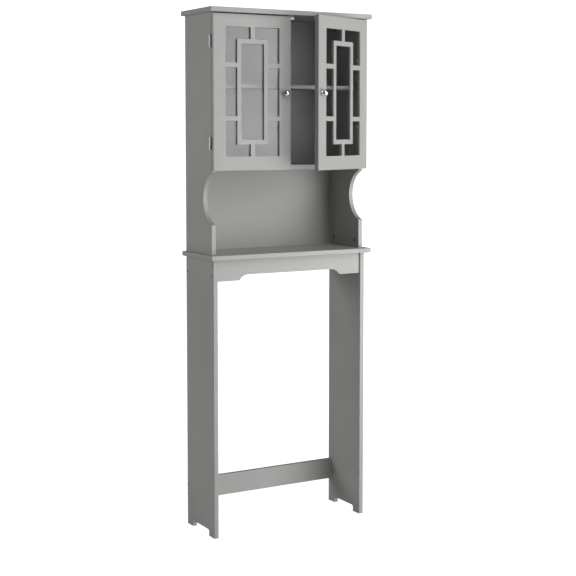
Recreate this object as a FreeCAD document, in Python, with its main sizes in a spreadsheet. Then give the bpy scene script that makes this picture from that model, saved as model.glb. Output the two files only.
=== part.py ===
import FreeCAD, Part
import math
import os
import re
import Sketcher

# Over the toilet storage rack: two leg panels with rails carry a middle board, and above it
# stands a cabinet with a scalloped open bay, an adjustable shelf and two glazed fretwork doors.
# X runs left to right, Y from the front to the wall, Z up from the floor, in millimetres.
# In the texts below, y is counted from the front edges of the legs; stand() moves it to the origin.

doc = FreeCAD.newDocument("over_toilet_rack")
sheet = doc.addObject("Spreadsheet::Sheet", "sizes")

SIZES = [
    ("overall_width", 600, "top and middle board, left to right"),
    ("overall_height", 1700, "floor to top face"),
    ("board_depth", 220, "top and middle board, front to back"),
    ("board", 15, "board thickness of every panel"),
    ("board_round", 1.2, "rounding of the two overhanging boards"),
    ("arris", 0.8, "softened front edges of the other boards"),
    ("side_overhang", 15, "top and middle board beyond the side panels and legs"),
    ("front_overhang", 20, "top and middle board beyond the legs' front edges"),
    ("origin_back", 36.2, "leg fronts to the origin, which is the middle of the footprint"),
    ("ledge_level", 918, "top of the middle board"),
    ("rail_height", 70, "aprons and lower stretcher"),
    ("apron_setback", 5, "front apron behind the leg fronts"),
    ("arch_rise", 18, "arch in the front apron"),
    ("arch_shoulder", 81, "straight part of the front apron beside each leg"),
    ("arch_radius", 36, "rounding at the arch's ends"),
    ("stretcher_level", 82, "underside of the lower stretcher"),
    ("foot_length", 40, "each foot, along the leg's bottom edge"),
    ("notch_height", 20, "gap under the leg between its feet"),
    ("notch_radius", 8, "rounding of that gap's corners"),
    ("side_setback", 12, "side panels' front edges behind the legs' front edges"),
    ("scallop_low", 96, "scallop's lower end above the middle board"),
    ("scallop_top_edge", 7, "straight edge between the scallop and the cabinet floor"),
    ("scallop_depth", 60, "scallop's deepest cut into the side panel"),
    ("back_thick", 3, "back panel"),
    ("back_inset", 6, "back panel's rear face to the wall side"),
    ("groove_depth", 6, "back panel's groove in the side panels"),
    ("slot_depth", 4, "back panel's groove in the two boards"),
    ("groove_play", 0.2, "space round the back panel in its grooves"),
    ("floor_level", 269, "underside of the cabinet floor above the middle board"),
    ("shelf_rise", 249, "underside of the shelf above the cabinet floor"),
    ("shelf_thick", 12, "adjustable shelf"),
    ("shelf_play", 1, "adjustable shelf to each side panel"),
    ("shelf_front", 10, "shelf's front edge behind the side panels' front edges"),
    ("shelf_back", 3, "shelf's back edge to the back panel"),
    ("pin_radius", 2.5, "shelf pin"),
    ("pin_shelf_gap", 0.3, "shelf pin to the shelf's underside"),
    ("pin_out", 8, "shelf pin outside its hole"),
    ("pin_in", 9, "shelf pin inside its hole"),
    ("pin_pitch", 32, "one row of pin holes to the next"),
    ("pin_front", 33, "front pin column behind the side panel's front edge"),
    ("pin_back_edge", 40, "back pin column to the side panel's back edge"),
    ("cam_radius", 7.4, "cam lock"),
    ("cam_floor", 3, "wood left behind a cam lock"),
    ("cam_play", 0.2, "space behind a cam lock"),
    ("cam_slot_length", 9, "cam lock's driver slot"),
    ("cam_slot_width", 1.4, "cam lock's driver slot"),
    ("cam_slot_depth", 1.5, "cam lock's driver slot"),
    ("cam_inset", 25, "cam's centre to the board's end"),
    ("cam_bolt_radius", 2.2, "cam bolt's shaft"),
    ("cam_head_radius", 3.2, "cam bolt's head"),
    ("cam_thread_radius", 2.6, "cam bolt's screw"),
    ("cam_thread_length", 9, "cam bolt's screw in the board"),
    ("dowel_radius", 4, "wood dowel"),
    ("dowel_length", 29, "wood dowel"),
    ("dowel_in_face", 9, "dowel's depth in a board's face"),
    ("bore_play", 0.1, "space round a dowel, cam, screw or leaf in its bore or seat"),
    ("bore_end", 0.5, "space past the end of a dowel or screw in its bore"),
    ("side_cam_front", 25, "front cams to the side panel's front edge"),
    ("side_cam_back_edge", 29, "back cams to the side panel's back edge"),
    ("side_dowel_front", 58, "front dowels to the side panel's front edge"),
    ("side_dowel_back_edge", 62, "back dowels to the side panel's back edge"),
    ("leg_cam_front", 55, "front cams to the leg's front edge"),
    ("leg_cam_back_edge", 47, "back cams to the leg's back edge"),
    ("leg_dowel_front", 88, "front dowels to the leg's front edge"),
    ("leg_dowel_back_edge", 80, "back dowels to the leg's back edge"),
    ("rail_screw_radius", 2.5, "rail screw's shank"),
    ("rail_screw_length", 44, "rail screw under its head"),
    ("rail_head_radius", 4.2, "rail screw's head"),
    ("rail_head_height", 3, "rail screw's head"),
    ("rail_head_sink", 1, "rail screw's head below the leg's face"),
    ("rail_drive", 2.3, "hexagon in the rail screw's head"),
    ("rail_screw_pitch", 34, "the two screws of one rail end"),
    ("wall_hole_radius", 2.5, "wall screw holes in the rear apron"),
    ("wall_hole_pitch", 400, "wall screw holes in the rear apron"),
    ("door_top_gap", 3.5, "doors to the top board"),
    ("door_drop", 0.5, "doors' lower edge below the cabinet floor's underside"),
    ("door_gap", 7, "one door to the other"),
    ("door_reveal", 0.5, "door's edge inside the side panel's outer face"),
    ("door_standoff", 1, "door's back to the side panels' front edges"),
    ("door_thick", 15, "door"),
    ("stile", 43, "door frame at its sides"),
    ("top_rail", 40, "door frame at its top"),
    ("bottom_rail", 45, "door frame at its bottom"),
    ("fret_bar", 15, "width of each fretwork bar"),
    ("fret_side_gap", 41.5, "fretwork rectangle to the stiles"),
    ("fret_end_gap", 38, "fretwork rectangle to the rails"),
    ("fret_arm_end", 82.5, "side arms' middle to the fretwork rectangle's end"),
    ("rebate_width", 8, "glass seat round the opening"),
    ("glass_thick", 3, "door glass"),
    ("seat_play", 0.2, "door glass to the clips' feet"),
    ("fret_thick", 6, "fretwork bars, front to back"),
    ("glass_play", 0.6, "space round the glass in its seat"),
    ("clip_length", 16, "glass clip, across the seat's edge"),
    ("clip_width", 9, "glass clip, along the seat's edge"),
    ("clip_thick", 1.6, "glass clip"),
    ("clip_corner", 30, "upper and lower clips to the opening's corners"),
    ("clip_side_end", 95, "side clips to the opening's top or bottom"),
    ("clip_hold", 6, "glass clip over the glass"),
    ("small_screw_radius", 1.4, "small screws' shank"),
    ("small_head_radius", 2.7, "small screws' head"),
    ("small_head_height", 1.3, "small screws' head"),
    ("sunk_head_height", 0.9, "countersunk head of the hinge and strike screws"),
    ("small_slot_length", 2.6, "small screws' driver slot"),
    ("small_slot_width", 0.6, "small screws' driver slot"),
    ("small_slot_depth", 0.6, "small screws' driver slot"),
    ("small_drive", 1.2, "hexagon in the small screws' heads"),
    ("small_screw_length", 9, "small screws under the head"),
    ("hinge_height", 40, "butt hinge"),
    ("hinge_inset", 87, "hinge's middle to the door's top or bottom"),
    ("leaf_thick", 0.9, "hinge leaf"),
    ("leaf_width", 12, "hinge leaf on the board"),
    ("leaf_gap", 0.2, "closed hinge, leaf to leaf"),
    ("knuckle_radius", 3, "hinge knuckle"),
    ("knuckle_clear", 0.35, "hinge knuckle to the side panel's outer face"),
    ("knuckle_play", 0.3, "one knuckle to the next"),
    ("hinge_pin_radius", 1.3, "hinge pin"),
    ("hinge_bore_radius", 1.35, "hinge pin's bore"),
    ("hinge_screw_half", 10, "hinge screws above and below the hinge's middle"),
    ("door_ajar", 23.5, "right door's angle at rest"),
    ("knob_radius", 11.5, "knob's head"),
    ("knob_reach", 20.5, "knob's front to the door"),
    ("knob_stem", 5.5, "knob's foot and neck, up to its head"),
    ("knob_rim", 5, "rounding of the knob's widest part"),
    ("knob_neck", 5, "knob's neck"),
    ("knob_base", 7.5, "knob's foot on the door"),
    ("knob_foot", 1.2, "knob's foot, straight part"),
    ("knob_waist", 3.85, "start of the knob's neck"),
    ("knob_screw_radius", 2, "knob screw"),
    ("knob_screw_hold", 9, "knob screw inside the knob"),
    ("knob_screw_head_radius", 3.9, "knob screw's head"),
    ("knob_screw_head", 2, "knob screw's head"),
    ("knob_screw_drive", 1.8, "hexagon in the knob screw's head"),
    ("catch_width", 40, "double magnetic catch"),
    ("catch_depth", 16, "double magnetic catch, front to back"),
    ("catch_height", 13, "double magnetic catch"),
    ("catch_seat", 4, "catch's case above its screws' heads"),
    ("catch_ear", 3.7, "catch's screws to its ends and back"),
    ("catch_gap", 0.5, "closed strike plate to the catch"),
    ("magnet_width", 12, "each magnet of the catch"),
    ("magnet_height", 7, "each magnet of the catch"),
    ("magnet_rise", 1.5, "each magnet above the catch's underside"),
    ("magnet_depth", 8, "each magnet of the catch"),
    ("magnet_middle", 10.5, "magnets left and right of the middle"),
    ("strike_size", 14, "strike plate on the door"),
    ("strike_thick", 1.5, "strike plate on the door"),
    ("strike_edge", 0.8, "strike plate to the door's top edge"),
]

# Sizes that follow from the ones above.
FOLLOWING = {
    "carcass_width": "(overall_width - 2 * side_overhang)",
    "clear_width": "(carcass_width - 2 * board)",
    "leg_depth": "(board_depth - front_overhang)",
    "leg_height": "(ledge_level - board)",
    "side_depth": "(leg_depth - side_setback)",
    "side_height": "(overall_height - board - ledge_level)",
    "cam_height": "(board - cam_floor)",
    "rebate_depth": "(door_thick - fret_thick)",
    "clip_foot": "(rebate_depth - glass_thick - seat_play)",
    "catch_front": "(strike_thick - door_standoff + catch_gap)",
    "side_cam_back": "(side_depth - side_cam_back_edge)",
    "side_dowel_back": "(side_depth - side_dowel_back_edge)",
    "leg_cam_back": "(leg_depth - leg_cam_back_edge)",
    "leg_dowel_back": "(leg_depth - leg_dowel_back_edge)",
    "pin_back": "(side_depth - pin_back_edge)",
    "floor_depth": "(side_depth - back_inset - back_thick - groove_play)",
    "shelf_depth": "(side_depth - back_inset - back_thick - shelf_front - shelf_back)",
    "back_height": "(side_height + 2 * slot_depth - 2 * groove_play)",
    "back_slot_low": "(back_inset - groove_play)",
    "back_slot_high": "(back_inset + back_thick + groove_play)",
    "scallop_high": "(floor_level - scallop_top_edge)",
    "scallop_half": "((scallop_high - scallop_low) / 2)",
    "scallop_radius": "((scallop_half ^ 2 + scallop_depth ^ 2) / (2 * scallop_depth))",
    "arch_half": "(clear_width / 2 - arch_shoulder)",
    "pin_row": "(floor_level + board + shelf_rise - pin_shelf_gap - pin_radius)",
    "shelf_level": "(ledge_level + floor_level + board + shelf_rise)",
    "door_level": "(floor_level - door_drop)",
    "door_height": "(side_height - door_level - door_top_gap)",
    "door_width": "((carcass_width - 2 * door_reveal - door_gap) / 2)",
    "door_back": "(side_setback - door_standoff)",
    "door_front": "(door_back - door_thick)",
    "opening_top": "(door_height - top_rail)",
    "opening_middle": "((bottom_rail + opening_top) / 2)",
    "fret_width": "(door_width - 2 * stile - 2 * fret_side_gap)",
    "fret_height": "(opening_top - bottom_rail - 2 * fret_end_gap)",
    "fret_arm": "(fret_height / 2 - fret_arm_end)",
    "leaf_start": "(knuckle_radius + knuckle_clear)",
    "leaf_sink": "((leaf_gap + 2 * leaf_thick - door_standoff) / 2)",
    "hinge_x": "(carcass_width / 2 + leaf_start)",
    "hinge_y": "(side_setback - door_standoff / 2)",
    "hinge_low": "(door_level + hinge_inset)",
    "hinge_high": "(door_level + door_height - hinge_inset)",
    "knuckle_length": "((hinge_height - 4 * knuckle_play) / 5)",
    "cam_bolt_up": "(cam_height - board / 2)",
    "clip_out": "(rebate_width + clip_length - clip_hold - clip_width / 2)",
    "knob_across": "(door_width - stile / 2)",
    "strike_across": "(door_width + door_gap / 2 - magnet_middle)",
    "strike_up": "(door_height - strike_size / 2 - strike_edge)",
    "thread_bore": "(cam_thread_radius + bore_play)",
    "dowel_bore": "(dowel_radius + bore_play)",
    "thread_deep": "(cam_thread_length + bore_end)",
    "face_deep": "(dowel_in_face + bore_end)",
    "dowel_deep": "(dowel_length - dowel_in_face + bore_end)",
    "shaft_bore": "(cam_head_radius + bore_play)",
    "cam_bore": "(cam_radius + bore_play)",
    "small_bore": "(small_screw_radius + bore_play)",
    "rail_bore": "(rail_screw_radius + bore_play)",
}

ALIASES = set()
for row, (alias, number, note) in enumerate(SIZES, start=1):
    sheet.set(f"A{row}", note)
    sheet.set(f"B{row}", str(number))
    sheet.setAlias(f"B{row}", alias)
    ALIASES.add(alias)
measure = doc.addObject("App::FeaturePython", "measure")
measure.addProperty("App::PropertyFloat", "length")
doc.recompute()


# ---------------------------------------------------------------- small tools of this document


def spelled(text):
    """The expression with every following size written out in the sheet's own aliases."""
    text = str(text)
    while True:
        longer = re.sub(r"[a-z_]+", lambda word: FOLLOWING.get(word[0], word[0]), text)
        if longer == text:
            return text
        text = longer


def linked(text):
    """The same expression, as another object of the document reads it from the sheet."""
    words = re.compile(r"[a-z_]+")
    return words.sub(lambda word: f"sizes.{word[0]}" if word[0] in ALIASES else word[0], spelled(text))


def value(text):
    """What an expression comes to, in millimetres."""
    measure.setExpression("length", linked(text))
    measure.recompute()
    return measure.length


def stand(piece, x, y, z):
    """Binds a piece's place: x and z as they are, y counted from the front edges of the legs."""
    for axis, text in (("x", x), ("y", f"{y} - origin_back"), ("z", z)):
        piece.setExpression(f"Placement.Base.{axis}", linked(text))


def new_body(name):
    body = doc.addObject("PartDesign::Body", name)
    body.Label = name
    return body


def new_sketch(body, role, lift="0"):
    """A sketch on one of the body's own origin planes, lifted along that plane's normal."""
    sketch = body.newObject("Sketcher::SketchObject", body.Name + "_sketch")
    support = next(plane for plane in body.Origin.OriginFeatures if plane.Role == role)
    sketch.AttachmentSupport = [(support, "")]
    sketch.MapMode = "FlatFace"
    sketch.setExpression("AttachmentOffset.Base.z", linked(lift))
    return sketch


def pin_down(sketch, geometry, end, x, y):
    """Binds one point of a sketch to two expressions."""
    for kind, text in (("DistanceX", x), ("DistanceY", y)):
        index = sketch.addConstraint(Sketcher.Constraint(kind, geometry, end, value(text)))
        name = f"at_{index}"
        sketch.renameConstraint(index, name)
        sketch.setExpression(f"Constraints.{name}", linked(text))


def bind_radius(sketch, geometry, text):
    index = sketch.addConstraint(Sketcher.Constraint("Radius", geometry, value(text)))
    name = f"radius_{index}"
    sketch.renameConstraint(index, name)
    sketch.setExpression(f"Constraints.{name}", linked(text))


def outline(sketch, corners):
    """Draws a closed outline. Each corner is (x, y), or (x, y, radius, side) where an arc leads
    from it to the next corner; side is 1 for a centre left of that way and -1 for right of it."""
    ends = []
    count = len(corners)
    for index, corner in enumerate(corners):
        following = corners[(index + 1) % count]
        start = FreeCAD.Vector(value(corner[0]), value(corner[1]), 0)
        stop = FreeCAD.Vector(value(following[0]), value(following[1]), 0)
        if len(corner) == 2:
            geometry = sketch.addGeometry(Part.LineSegment(start, stop), False)
            ends.append((geometry, 1, 2))
            continue
        radius = value(corner[2])
        way = stop - start
        half = way.Length / 2
        left = FreeCAD.Vector(-way.y, way.x, 0).normalize()
        centre = (start + stop) / 2 + left * (corner[3] * math.sqrt(radius * radius - half * half))
        first, last = (start, stop) if corner[3] > 0 else (stop, start)
        angles = [math.atan2(point.y - centre.y, point.x - centre.x) for point in (first, last)]
        circle = Part.Circle(centre, FreeCAD.Vector(0, 0, 1), radius)
        geometry = sketch.addGeometry(Part.ArcOfCircle(circle, angles[0], angles[1]), False)
        ends.append((geometry, 1, 2) if corner[3] > 0 else (geometry, 2, 1))
        bind_radius(sketch, geometry, corner[2])
    for index, corner in enumerate(corners):
        before = ends[index - 1]
        here = ends[index]
        sketch.addConstraint(Sketcher.Constraint("Coincident", before[0], before[2], here[0], here[1]))
        pin_down(sketch, here[0], here[1], corner[0], corner[1])


def rectangle(sketch, left, low, right, high):
    outline(sketch, [(left, low), (right, low), (right, high), (left, high)])


def circles(sketch, centres, radius):
    for x, y in centres:
        centre = FreeCAD.Vector(value(x), value(y), 0)
        circle = Part.Circle(centre, FreeCAD.Vector(0, 0, 1), value(radius))
        geometry = sketch.addGeometry(circle, False)
        pin_down(sketch, geometry, 3, x, y)
        bind_radius(sketch, geometry, radius)


def pad(body, sketch, length, backwards=False):
    feature = body.newObject("PartDesign::Pad", body.Name + "_pad")
    feature.Profile = sketch
    feature.Reversed = backwards
    feature.setExpression("Length", linked(length))
    sketch.Visibility = False
    return feature


def pocket(body, sketch, depth, forwards=False):
    """Cuts against the sketch plane's normal, or along it where forwards is set."""
    feature = body.newObject("PartDesign::Pocket", body.Name + "_pocket")
    feature.Profile = sketch
    feature.Reversed = forwards
    feature.setExpression("Length", linked(depth))
    sketch.Visibility = False
    return feature


def drill(body, role, lift, centres, radius, depth, forwards):
    sketch = new_sketch(body, role, lift)
    circles(sketch, centres, radius)
    return pocket(body, sketch, depth, forwards)


def slot(body, role, lift, box, depth, forwards):
    sketch = new_sketch(body, role, lift)
    rectangle(sketch, *box)
    return pocket(body, sketch, depth, forwards)


def plain_board(name, width, depth, height):
    """A board with its lowest corner at its own origin."""
    body = new_body(name)
    sketch = new_sketch(body, "XY_Plane")
    rectangle(sketch, "0", "0", width, depth)
    pad(body, sketch, height)
    return body


def soften(body, chosen):
    """Rounds the edges of the body's last feature that chosen accepts, by their two end points."""
    doc.recompute()
    base = body.Tip
    names = []
    for index, edge in enumerate(base.Shape.Edges):
        ends = [vertex.Point for vertex in edge.Vertexes]
        if len(ends) == 2 and chosen(*ends):
            names.append(f"Edge{index + 1}")
    rounding = body.newObject("PartDesign::Fillet", body.Name + "_arris")
    rounding.Base = (base, names)
    rounding.setExpression("Radius", linked("arris"))
    return rounding


def each(*pairs):
    """Every combination of the given first and second values."""
    return [(first, second) for first in pairs[0] for second in pairs[1]]


# Where shared joints lie, as seen from the board that holds the cam or the dowel.
SIDE_CAMS = ["side_cam_front", "side_cam_back"]
SIDE_DOWELS = ["side_dowel_front", "side_dowel_back"]
LEG_CAMS = ["leg_cam_front", "leg_cam_back"]
LEG_DOWELS = ["leg_dowel_front", "leg_dowel_back"]

# ---------------------------------------------------------------- boards of the carcass


def overhanging_board(name, faces):
    """Top or middle board. faces lists the sides that carry uprights: 1 above, -1 below."""
    body = plain_board(name, "overall_width", "board_depth", "board")
    doc.recompute()
    board = body.Tip
    edges = [f"Edge{index + 1}" for index in range(len(board.Shape.Edges))]
    rounding = body.newObject("PartDesign::Fillet", name + "_rounding")
    rounding.Base = (board, edges)
    rounding.setExpression("Radius", linked("board_round"))
    columns = ["(side_overhang + board / 2)", "(overall_width - side_overhang - board / 2)"]
    for face in faces:
        lift = "board" if face > 0 else "0"
        forwards = face < 0
        legs_below = face < 0 and name == "middle_board"
        front = "front_overhang" if legs_below else "(front_overhang + side_setback)"
        cams = LEG_CAMS if legs_below else SIDE_CAMS
        dowels = LEG_DOWELS if legs_below else SIDE_DOWELS
        spots = each(columns, [f"({front} + {cam})" for cam in cams])
        drill(body, "XY_Plane", lift, spots, "thread_bore", "thread_deep", forwards)
        spots = each(columns, [f"({front} + {dowel})" for dowel in dowels])
        drill(body, "XY_Plane", lift, spots, "dowel_bore", "face_deep", forwards)
        if legs_below:
            continue
        left = "(side_overhang + board - groove_depth)"
        right = f"(overall_width - {left})"
        box = (left, "board_depth - back_slot_high", right, "board_depth - back_slot_low")
        slot(body, "XY_Plane", lift, box, "slot_depth", forwards)
    return body


top_board = overhanging_board("top_board", [-1])
CATCH_HOLES = each(["catch_ear", "(catch_width - catch_ear)"], ["(catch_depth - catch_ear)"])
catch_left = "(overall_width / 2 - catch_width / 2)"
catch_start = "(front_overhang + side_setback + catch_front)"
catch_bores = [(f"{catch_left} + {x}", f"{catch_start} + {y}") for x, y in CATCH_HOLES]
drill(top_board, "XY_Plane", "0", catch_bores, "small_bore", "small_screw_length", True)
stand(top_board, "-overall_width / 2", "-front_overhang", "overall_height - board")
middle_board = overhanging_board("middle_board", [1, -1])
stand(middle_board, "-overall_width / 2", "-front_overhang", "ledge_level - board")


def upright_x(side):
    """The left edge of a left or right upright, and its inner and outer faces in its own frame."""
    if side < 0:
        return "-carcass_width / 2", "board", "0"
    return "carcass_width / 2 - board", "0", "board"


def side_panel(name, side):
    """An upper side panel with its scalloped front edge and every bore it carries."""
    left, inner, outer = upright_x(side)
    body = new_body(name)
    sketch = new_sketch(body, "YZ_Plane")
    outline(sketch, [
        ("0", "0"), ("side_depth", "0"), ("side_depth", "side_height"), ("0", "side_height"),
        ("0", "scallop_high", "scallop_radius", -1), ("0", "scallop_low"),
    ])
    pad(body, sketch, "board")
    height = value("side_height")
    soften(body, lambda a, b: max(a.y, b.y) < 1 and abs(a.x - b.x) < 1 and 1 < (a.z + b.z) / 2 < height - 1)
    into = side > 0
    box = ("side_depth - back_slot_high", "0", "side_depth - back_slot_low", "side_height")
    slot(body, "YZ_Plane", inner, box, "groove_depth + groove_play", into)
    rows = ["cam_inset", "(side_height - cam_inset)"]
    drill(body, "YZ_Plane", inner, each(SIDE_CAMS, rows), "cam_bore", "cam_height + cam_play", into)
    for lift, up in (("0", True), ("side_height", False)):
        drill(body, "XY_Plane", lift, each(["board / 2"], SIDE_CAMS), "shaft_bore", "cam_inset", up)
        drill(body, "XY_Plane", lift, each(["board / 2"], SIDE_DOWELS), "dowel_bore", "dowel_deep", up)
    middle = ["(floor_level + board / 2)"]
    drill(body, "YZ_Plane", inner, each(SIDE_CAMS, middle), "thread_bore", "thread_deep", into)
    drill(body, "YZ_Plane", inner, each(SIDE_DOWELS, middle), "dowel_bore", "face_deep", into)
    holes = [f"(pin_row + {step} * pin_pitch)" for step in (-2, -1, 0, 1, 2)]
    columns = ["pin_front", "pin_back"]
    drill(body, "YZ_Plane", inner, each(columns, holes), "pin_radius + bore_play", "pin_in + bore_end", into)
    edge_side = ("0", "leaf_width") if side < 0 else ("board - leaf_width", "board")
    for middle in HINGE_ROWS:
        low, high = hinge_mortise(middle)
        slot(body, "XZ_Plane", "0", (edge_side[0], low, edge_side[1], high), "leaf_sink", False)
        bores = each([f"({outer} - {side} * leaf_width / 2)"], hinge_screw_rows(middle))
        bore_depth = "small_screw_length + bore_end"
        drill(body, "XZ_Plane", "0", bores, "small_bore", bore_depth, False)
    stand(body, left, "side_setback", "ledge_level")
    return body


# The hinges' middles above the middle board.
HINGE_ROWS = ["hinge_low", "hinge_high"]


def hinge_screw_rows(middle):
    return [f"({middle} - hinge_screw_half)", f"({middle} + hinge_screw_half)"]


def hinge_mortise(middle):
    """Lower and upper end of the shallow seat that a hinge leaf lies in."""
    half = "(hinge_height / 2 + bore_play)"
    return f"({middle} - {half})", f"({middle} + {half})"


left_side_panel = side_panel("left_side_panel", -1)
right_side_panel = side_panel("right_side_panel", 1)


def leg_panel(name, side):
    """A leg panel with the gap between its feet, its rail screw holes and its cam bores."""
    left, inner, outer = upright_x(side)
    body = new_body(name)
    sketch = new_sketch(body, "YZ_Plane")
    back_foot = "(leg_depth - foot_length)"
    outline(sketch, [
        ("0", "0"), ("foot_length", "0"), ("foot_length", "notch_height - notch_radius", "notch_radius", -1),
        ("foot_length + notch_radius", "notch_height"),
        (f"{back_foot} - notch_radius", "notch_height", "notch_radius", -1),
        (back_foot, "notch_height - notch_radius"),
        (back_foot, "0"), ("leg_depth", "0"), ("leg_depth", "leg_height"), ("0", "leg_height"),
    ])
    pad(body, sketch, "board")
    soften(body, lambda a, b: max(a.y, b.y) < 1 and abs(a.x - b.x) < 1)
    into = side > 0
    spots = rail_screw_spots()
    drill(body, "YZ_Plane", outer, spots, "rail_bore", "board", not into)
    head_depth = "rail_head_sink + rail_head_height"
    drill(body, "YZ_Plane", outer, spots, "rail_head_radius + bore_play", head_depth, not into)
    row = ["(leg_height - cam_inset)"]
    drill(body, "YZ_Plane", inner, each(LEG_CAMS, row), "cam_bore", "cam_height + cam_play", into)
    drill(body, "XY_Plane", "leg_height", each(["board / 2"], LEG_CAMS), "shaft_bore", "cam_inset", False)
    drill(body, "XY_Plane", "leg_height", each(["board / 2"], LEG_DOWELS), "dowel_bore", "dowel_deep", False)
    stand(body, left, "0", "0")
    return body


def rail_screw_spots():
    """Where the rail screws pass the legs: front apron, rear apron and lower stretcher."""
    front = "(apron_setback + board / 2)"
    rear = "(leg_depth - board / 2)"
    rails = [(front, "(leg_height - rail_height / 2)"), (rear, "(leg_height - rail_height / 2)")]
    rails.append((rear, "(stretcher_level + rail_height / 2)"))
    return [(y, f"({z} {sign} rail_screw_pitch / 2)") for y, z in rails for sign in "+-"]


left_leg_panel = leg_panel("left_leg_panel", -1)
right_leg_panel = leg_panel("right_leg_panel", 1)


# ---------------------------------------------------------------- rails between the legs


def drill_rail_ends(body):
    """Two pilot bores in each end of a rail, on its middle line."""
    rows = [f"(rail_height / 2 {sign} rail_screw_pitch / 2)" for sign in "+-"]
    depth = "rail_screw_length + rail_head_height + rail_head_sink - board + 1"
    for lift, forwards in (("0", True), ("clear_width", False)):
        drill(body, "YZ_Plane", lift, each(["board / 2"], rows), "rail_bore", depth, forwards)


def arched_apron(name):
    body = new_body(name)
    sketch = new_sketch(body, "XZ_Plane")
    middle = "(clear_width / 2)"
    reach = "sqrt(arch_radius ^ 2 - (arch_radius - arch_rise) ^ 2)"
    outline(sketch, [
        ("0", "0"), (f"{middle} - arch_half", "0", "arch_radius", -1),
        (f"{middle} - arch_half + {reach}", "arch_rise"),
        (f"{middle} + arch_half - {reach}", "arch_rise", "arch_radius", -1), (f"{middle} + arch_half", "0"),
        ("clear_width", "0"), ("clear_width", "rail_height"), ("0", "rail_height"),
    ])
    pad(body, sketch, "board", True)
    return body


front_apron = arched_apron("front_apron")
rear_apron = plain_board("rear_apron", "clear_width", "board", "rail_height")
lower_stretcher = plain_board("lower_rear_stretcher", "clear_width", "board", "rail_height")
for rail in (front_apron, rear_apron, lower_stretcher):
    drill_rail_ends(rail)
wall_holes = [(f"(clear_width / 2 {sign} wall_hole_pitch / 2)", "rail_height / 2") for sign in "+-"]
drill(rear_apron, "XZ_Plane", "0", wall_holes, "wall_hole_radius", "board", False)
stand(front_apron, "-clear_width / 2", "apron_setback", "leg_height - rail_height")
stand(rear_apron, "-clear_width / 2", "leg_depth - board", "leg_height - rail_height")
stand(lower_stretcher, "-clear_width / 2", "leg_depth - board", "stretcher_level")


# ---------------------------------------------------------------- cabinet floor, shelf and back


def cabinet_floor_board():
    """The cabinet's fixed floor. Its cams open downwards, and its ends take cam bolts and dowels."""
    body = plain_board("cabinet_floor", "clear_width", "floor_depth", "board")
    columns = ["cam_inset", "(clear_width - cam_inset)"]
    drill(body, "XY_Plane", "0", each(columns, SIDE_CAMS), "cam_bore", "cam_height + cam_play", True)
    for lift, forwards in (("0", True), ("clear_width", False)):
        ends = [(cam, "board / 2") for cam in SIDE_CAMS]
        drill(body, "YZ_Plane", lift, ends, "shaft_bore", "cam_inset", forwards)
        ends = [(dowel, "board / 2") for dowel in SIDE_DOWELS]
        drill(body, "YZ_Plane", lift, ends, "dowel_bore", "dowel_deep", forwards)
    stand(body, "-clear_width / 2", "side_setback", "ledge_level + floor_level")
    return body


cabinet_floor = cabinet_floor_board()
cabinet_shelf = plain_board("cabinet_shelf", "clear_width - 2 * shelf_play", "shelf_depth", "shelf_thick")
soften(cabinet_shelf, lambda a, b: max(a.y, b.y) < 1 and abs(a.z - b.z) < 1)
stand(cabinet_shelf, "-clear_width / 2 + shelf_play", "side_setback + shelf_front", "shelf_level")

back_panel = plain_board("back_panel", "clear_width + 2 * groove_depth", "back_thick", "back_height")
stand(back_panel, "-clear_width / 2 - groove_depth", "leg_depth - back_inset - back_thick",
      "ledge_level - slot_depth + groove_play")


# ---------------------------------------------------------------- fasteners, made once and repeated


def cylinder(name, radius, height, up="0"):
    """A bound cylinder along +Z that starts at the height up."""
    piece = doc.addObject("Part::Cylinder", name)
    piece.setExpression("Radius", linked(radius))
    piece.setExpression("Height", linked(height))
    piece.setExpression("Placement.Base.z", linked(up))
    return piece


def block(name, size, corner):
    piece = doc.addObject("Part::Box", name)
    for side, text in zip(("Length", "Width", "Height"), size):
        piece.setExpression(side, linked(text))
    for axis, text in zip("xyz", corner):
        piece.setExpression(f"Placement.Base.{axis}", linked(text))
    return piece


def fused(name, pieces):
    result = doc.addObject("Part::MultiFuse", name)
    result.Shapes = pieces
    return result


def cut(name, base, tool):
    result = doc.addObject("Part::Cut", name)
    result.Base = base
    result.Tool = tool
    return result


def turned(toward):
    """The turn that lays a fastener's +Z along the given direction."""
    return FreeCAD.Rotation(FreeCAD.Vector(0, 0, 1), FreeCAD.Vector(*toward))


def group(name, pattern, spots, swing=None):
    """Copies of one fastener as separate solids. A spot is ((x, y, z), direction of its +Z)."""
    doc.recompute()
    copies = []
    for (x, y, z), toward in spots:
        base = FreeCAD.Vector(value(x), value(y) - value("origin_back"), value(z))
        copy = pattern.Shape.copy()
        copy.Placement = FreeCAD.Placement(base, turned(toward)).multiply(pattern.Placement)
        copies.append(copy)
    feature = doc.addObject("Part::Feature", name)
    feature.Label = name
    feature.Shape = Part.makeCompound(copies)
    if swing:
        feature.Placement = swing
    return feature


def cam_lock_pattern():
    """A cam lock along +Z: its closed face at z = 0, its cross slot on top, its mouth along +X."""
    body = cylinder("cam_lock_body", "cam_radius", "cam_height")
    mouth = doc.addObject("Part::Cylinder", "cam_lock_mouth")
    mouth.setExpression("Radius", linked("shaft_bore"))
    mouth.setExpression("Height", linked("cam_radius + cam_head_radius"))
    mouth.Placement.Rotation = turned((1, 0, 0))
    mouth.setExpression("Placement.Base.x", linked("-cam_head_radius"))
    mouth.setExpression("Placement.Base.z", linked("cam_bolt_up"))
    cross = driver_cross("cam_slot", "cam_slot_length", "cam_slot_width", "cam_slot_depth", "cam_height")
    return cut("cam_lock_pattern", body, fused("cam_lock_cuts", [mouth, cross]))


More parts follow.
